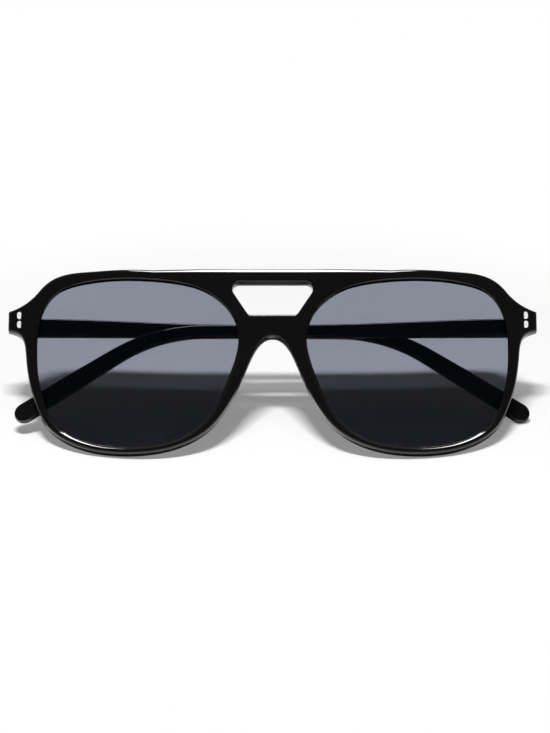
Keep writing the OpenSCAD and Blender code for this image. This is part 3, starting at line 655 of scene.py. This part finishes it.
# %% [markdown]
# ## Finishes
#
# Polished black acetate is not simply black. It is a deep plastic under a hand-buffed
# skin, so its highlights are crisp but never quite even. A slow noise moves the roughness
# a little and a very shallow bump bends the reflections, as the felt wheel does.

# %% Helpers for materials
def new_material(name):
    material = bpy.data.materials.new(name)
    material.use_nodes = True
    return material, material.node_tree, material.node_tree.nodes["Principled BSDF"]


def node(tree, kind, **values):
    made = tree.nodes.new(kind)
    for key, value in values.items():
        if key in made.inputs:
            made.inputs[key].default_value = value
        else:
            setattr(made, key, value)
    return made


def noise(tree, scale, detail=3, stretch=(1, 1, 1)):
    """Noise in object space, in metres, which can be stretched into streaks."""
    where = node(tree, "ShaderNodeTexCoord")
    mapping = node(tree, "ShaderNodeMapping", Scale=stretch)
    pattern = node(tree, "ShaderNodeTexNoise", Scale=scale, Detail=detail)
    tree.links.new(where.outputs["Object"], mapping.inputs["Vector"])
    tree.links.new(mapping.outputs["Vector"], pattern.inputs["Vector"])
    return pattern.outputs["Fac"]


def between(tree, value, low, high):
    spread = node(tree, "ShaderNodeMapRange")
    spread.inputs["To Min"].default_value = low
    spread.inputs["To Max"].default_value = high
    tree.links.new(value, spread.inputs["Value"])
    return spread.outputs["Result"]


def bumped(tree, shader, value, strength, depth):
    bump = node(tree, "ShaderNodeBump", Strength=strength, Distance=depth)
    tree.links.new(value, bump.inputs["Height"])
    tree.links.new(bump.outputs["Normal"], shader.inputs["Normal"])


def two_tones(tree, share, one, other):
    tone = node(tree, "ShaderNodeMixRGB", Color1=(*one, 1), Color2=(*other, 1))
    tree.links.new(share, tone.inputs["Fac"])
    return tone.outputs["Color"]


# %% Polished black acetate
acetate, tree, shader = new_material("polished_black_acetate")
shader.inputs["IOR"].default_value = 1.48
black = two_tones(tree, noise(tree, 60), (0.002, 0.002, 0.0022), (0.0045, 0.0045, 0.005))
tree.links.new(black, shader.inputs["Base Color"])
tree.links.new(between(tree, noise(tree, 220, 2), 0.03, 0.07), shader.inputs["Roughness"])
bumped(tree, shader, noise(tree, 400, 2), 0.04, 0.0002)
print("acetate: black, buffed to a roughness of 0.03 to 0.07")

# %% [markdown]
# The lens is a real sheet of tinted glass: light is bent, coloured and reflected by both
# of its surfaces. Its colour is a cool grey that lets a little over a quarter of the light
# through. The faintest smear in its roughness stands for the film that every worn lens has.

# %% Tinted lens glass
glass, tree, shader = new_material("tinted_lens_glass")
shader.inputs["Transmission Weight"].default_value = 1
shader.inputs["IOR"].default_value = 1.5
shader.inputs["Base Color"].default_value = (0.272, 0.298, 0.368, 1)
shader.inputs["Specular Tint"].default_value = (0.5, 0.7, 1, 1)
tree.links.new(between(tree, noise(tree, 90, 2), 0, 0.02), shader.inputs["Roughness"])
print("lens glass: tinted at both surfaces, with a roughness of 0 to 0.02")

# %% [markdown]
# The metal is of four kinds. The rivet heads are polished and have fine scratches from
# that. The hinges are stamped nickel silver with a drawn grain along the leaf. The screws
# are turned, and the core wires, which are out of sight, are drawn.

# %% Four metals
def metal(name, colour, rough, stretch, scale, depth):
    material, tree, shader = new_material(name)
    shader.inputs["Metallic"].default_value = 1
    tint = two_tones(tree, noise(tree, scale / 4), [c * 0.9 for c in colour], colour)
    tree.links.new(tint, shader.inputs["Base Color"])
    grain = noise(tree, scale, 4, stretch)
    tree.links.new(between(tree, grain, *rough), shader.inputs["Roughness"])
    bumped(tree, shader, grain, 0.15, depth)
    return material


rivet_metal = metal("polished_rivet", (0.86, 0.86, 0.87), rough=(0.12, 0.22),
                    stretch=(1, 1, 6), scale=900, depth=0.00002)
hinge_metal = metal("nickel_silver_hinge", (0.70, 0.68, 0.64), rough=(0.22, 0.38),
                    stretch=(0.2, 1, 6), scale=1600, depth=0.00003)
screw_metal = metal("turned_screw", (0.78, 0.77, 0.74), rough=(0.16, 0.28),
                    stretch=(1, 1, 1), scale=2500, depth=0.00002)
wire_metal = metal("drawn_core_wire", (0.6, 0.6, 0.6), rough=(0.3, 0.45),
                   stretch=(0.1, 1, 1), scale=2000, depth=0.00002)

for made in (rivet_metal, hinge_metal, screw_metal, wire_metal):
    print("metal:", made.name)

# %% Put the finishes on
for piece in (front, *pads, *temples):
    piece.data.materials.clear()
    piece.data.materials.append(acetate)
for lens in lenses:
    lens.data.materials.clear()
    lens.data.materials.append(glass)
finishes = {"rivets": rivet_metal, "screw": screw_metal, "core": wire_metal, "hinge": hinge_metal}
for name, piece in frame["nodes"].items():
    kind = next((k for k in ("rivets", "screw", "core", "hinge") if k in name), None)
    if kind:
        for s in piece.material_slots:
            s.link = "OBJECT"
            s.material = finishes[kind]
print("finishes on", len(frame["nodes"]), "solids")

# %% [markdown]
# ## The table and the light
#
# The photograph is a plain catalogue shot on a white sweep. The table near the glasses is
# pale paper that keeps the shadow, and further out it fades to the white of the sweep. The
# fade is only what the camera sees, directly or through a lens, so it adds no light. The
# photograph is exposed for black plastic, which leaves its shadows pale: a painted white
# glow of the paper, again for the camera alone, lightens the shadow on the table the same way.

# %% Helpers for what the camera sees
def maths(tree, what, a, b):
    made = node(tree, "ShaderNodeMath", operation=what)
    for socket, value in zip(made.inputs, (a, b)):
        if isinstance(value, (int, float)):
            socket.default_value = value
        else:
            tree.links.new(value, socket)
    return made.outputs["Value"]


def plainly_seen(tree):
    """1 for what the camera sees directly or through a lens, before any bounce."""
    path = node(tree, "ShaderNodeLightPath")
    seen = maths(tree, "MAXIMUM", path.outputs["Is Camera Ray"], path.outputs["Is Transmission Ray"])
    turned = maths(tree, "MAXIMUM", path.outputs["Diffuse Depth"], path.outputs["Glossy Depth"])
    return maths(tree, "MULTIPLY", seen, maths(tree, "LESS_THAN", turned, 0.5))


# %% Floor
FLOOR_HALF, FLOOR_NEAR, FLOOR_FAR = 3, -2, 6
FADE_FROM, FADE_TO, SHADOW_LIFT = 0.085, 0.16, 0.24
floor_corners = [(-FLOOR_HALF, FLOOR_NEAR, 0), (FLOOR_HALF, FLOOR_NEAR, 0),
                 (FLOOR_HALF, FLOOR_FAR, 0), (-FLOOR_HALF, FLOOR_FAR, 0)]
floor_mesh = bpy.data.meshes.new("white_table")
floor_mesh.from_pydata(floor_corners, [], [(0, 1, 2, 3)])
floor_sheet = bpy.data.objects.new("white_table", floor_mesh)
bpy.context.scene.collection.objects.link(floor_sheet)
paper, tree, shader = new_material("white_paper")
shader.inputs["Roughness"].default_value = 0.9
shader.inputs["Specular IOR Level"].default_value = 0.1
white = two_tones(tree, noise(tree, 30), (0.955, 0.955, 0.955), (0.975, 0.975, 0.975))
tree.links.new(white, shader.inputs["Base Color"])
where = node(tree, "ShaderNodeTexCoord")
far = node(tree, "ShaderNodeVectorMath", operation="LENGTH")
tree.links.new(where.outputs["Object"], far.inputs[0])
fade = node(tree, "ShaderNodeMapRange", interpolation_type="SMOOTHSTEP")
fade.inputs["From Min"].default_value = FADE_FROM
fade.inputs["From Max"].default_value = FADE_TO
tree.links.new(far.outputs["Value"], fade.inputs["Value"])
glow = node(tree, "ShaderNodeEmission", Strength=1)
mix = node(tree, "ShaderNodeMixShader")
camera_ray = node(tree, "ShaderNodeLightPath").outputs["Is Camera Ray"]
# Painted light: a white glow mixed into the paper for camera rays alone lightens the shadows on the
# table.
painted_shadow_lift = maths(tree, "MULTIPLY", camera_ray, SHADOW_LIFT)
faded = maths(tree, "MULTIPLY", fade.outputs["Result"], plainly_seen(tree))
tree.links.new(maths(tree, "MAXIMUM", faded, painted_shadow_lift), mix.inputs["Fac"])
tree.links.new(shader.outputs["BSDF"], mix.inputs[1])
tree.links.new(glow.outputs["Emission"], mix.inputs[2])
tree.links.new(mix.outputs["Shader"], tree.nodes["Material Output"].inputs["Surface"])
floor_mesh.materials.append(paper)
print("a white table, which fades out from", FADE_FROM, "to", FADE_TO, "m from its middle")

# %% [markdown]
# Black gloss shows its lamps as a mirror does, so the lamps that make the shadow and those
# that make the highlights are kept apart. The key box throws the long shadow behind the
# brow, and the high box softens it a little. The top sheet hangs above and behind the
# glasses, and is seen only in the brow facet, the bevels and the upper edges. Two cards
# light the metal alone. No lamp shines straight through a lens, so the lenses throw a full
# shadow. The air in front of the face is left dark, as a black flag would leave it, and a
# soft glow from behind shapes the back of the glasses.

# %% Lamps and sky
LAMP_REACH, AIM = 1.5, Vector((0, 0, 0.02))


def lamp(name, elevation, to_left, size, power, diffuse=True, glossy=True):
    """An area lamp turned towards the glasses, behind them if over 90 degrees up."""
    up, turn = radians(elevation), radians(to_left)
    place = LAMP_REACH * Vector((cos(up) * -sin(turn), cos(up) * -cos(turn), sin(up)))
    data = bpy.data.lights.new(name, "AREA")
    data.shape, data.size, data.size_y = "RECTANGLE", size[0], size[1]
    data.energy = power
    light = bpy.data.objects.new(name, data)
    light.location = place
    light.rotation_euler = (AIM - place).to_track_quat("-Z", "Y").to_euler()
    light.visible_camera = light.visible_transmission = False
    light.visible_diffuse, light.visible_glossy = diffuse, glossy
    bpy.context.scene.collection.objects.link(light)
    return light


lamp("key_box", elevation=60.5, to_left=5, size=(0.34, 0.1), power=23.5, glossy=False)
lamp("high_box", elevation=74, to_left=0, size=(0.92, 0.1), power=1.9, glossy=False)
lamp("top_sheet", elevation=117, to_left=0, size=(0.5, 0.38), power=15, diffuse=False)
metal_cards = bpy.data.collections.new("metal_fittings")
for name, piece in frame["nodes"].items():
    if any(k in name for k in ("rivets", "screw", "hinge")):
        metal_cards.objects.link(piece)
for name, side in (("left_metal_card", 30), ("right_metal_card", -30)):
    card = lamp(name, elevation=58, to_left=side, size=(0.5, 0.5), power=1.3, diffuse=False)
    card.light_linking.receiver_collection = metal_cards

GLOW_FROM, GLOW_TO, GLOW_FRONT, GLOW_BACK, AIR = -0.1, 0.7, 0.05, 0.4, 0.05
world = bpy.data.worlds.new("studio")
bpy.context.scene.world = world
world.use_nodes = True
tree = world.node_tree
sky = tree.nodes["Background"]
way = node(tree, "ShaderNodeTexCoord")
split = node(tree, "ShaderNodeSeparateXYZ")
tree.links.new(way.outputs["Generated"], split.inputs["Vector"])
path = node(tree, "ShaderNodeLightPath")
backlight = node(tree, "ShaderNodeMapRange")
for key, value in (("From Min", GLOW_FROM), ("From Max", GLOW_TO),
                   ("To Min", GLOW_FRONT), ("To Max", GLOW_BACK)):
    backlight.inputs[key].default_value = value
tree.links.new(split.outputs["Y"], backlight.inputs["Value"])
soft = maths(tree, "MULTIPLY", path.outputs["Is Glossy Ray"], backlight.outputs["Result"])
air = maths(tree, "MULTIPLY", path.outputs["Is Diffuse Ray"], AIR)
level = maths(tree, "MAXIMUM", maths(tree, "MAXIMUM", air, soft), plainly_seen(tree))
tree.links.new(level, sky.inputs["Strength"])
warmth = two_tones(tree, plainly_seen(tree), (1, 0.9, 0.84), (1, 1, 1))
tree.links.new(warmth, sky.inputs["Color"])
print(len(bpy.data.lights), "lamps, of which two light the metal alone")

# %% [markdown]
# ## The camera
#
# The camera looks straight at the front from a little above the table. Its height and
# distance were found by matching the lugs, the cut-out, the nose arch and the two tips.

# %% Camera
ELEVATION, DISTANCE, FOCAL, SENSOR_W = radians(23.25), 1.2, 216, 36
TARGET = Vector((0.00066, 0, 0.0190))
camera = bpy.data.objects.new("camera", bpy.data.cameras.new("camera"))
bpy.context.scene.collection.objects.link(camera)
camera.data.lens = FOCAL
camera.data.sensor_width = SENSOR_W
back = Vector((0, -cos(ELEVATION), sin(ELEVATION)))
camera.location = TARGET + back * DISTANCE
camera.rotation_euler = (-back).to_track_quat("-Z", "Y").to_euler()
bpy.context.scene.camera = camera
bpy.context.scene.view_settings.view_transform = "Standard"
print("camera", round(degrees(ELEVATION), 2), "degrees up and", DISTANCE, "m away")
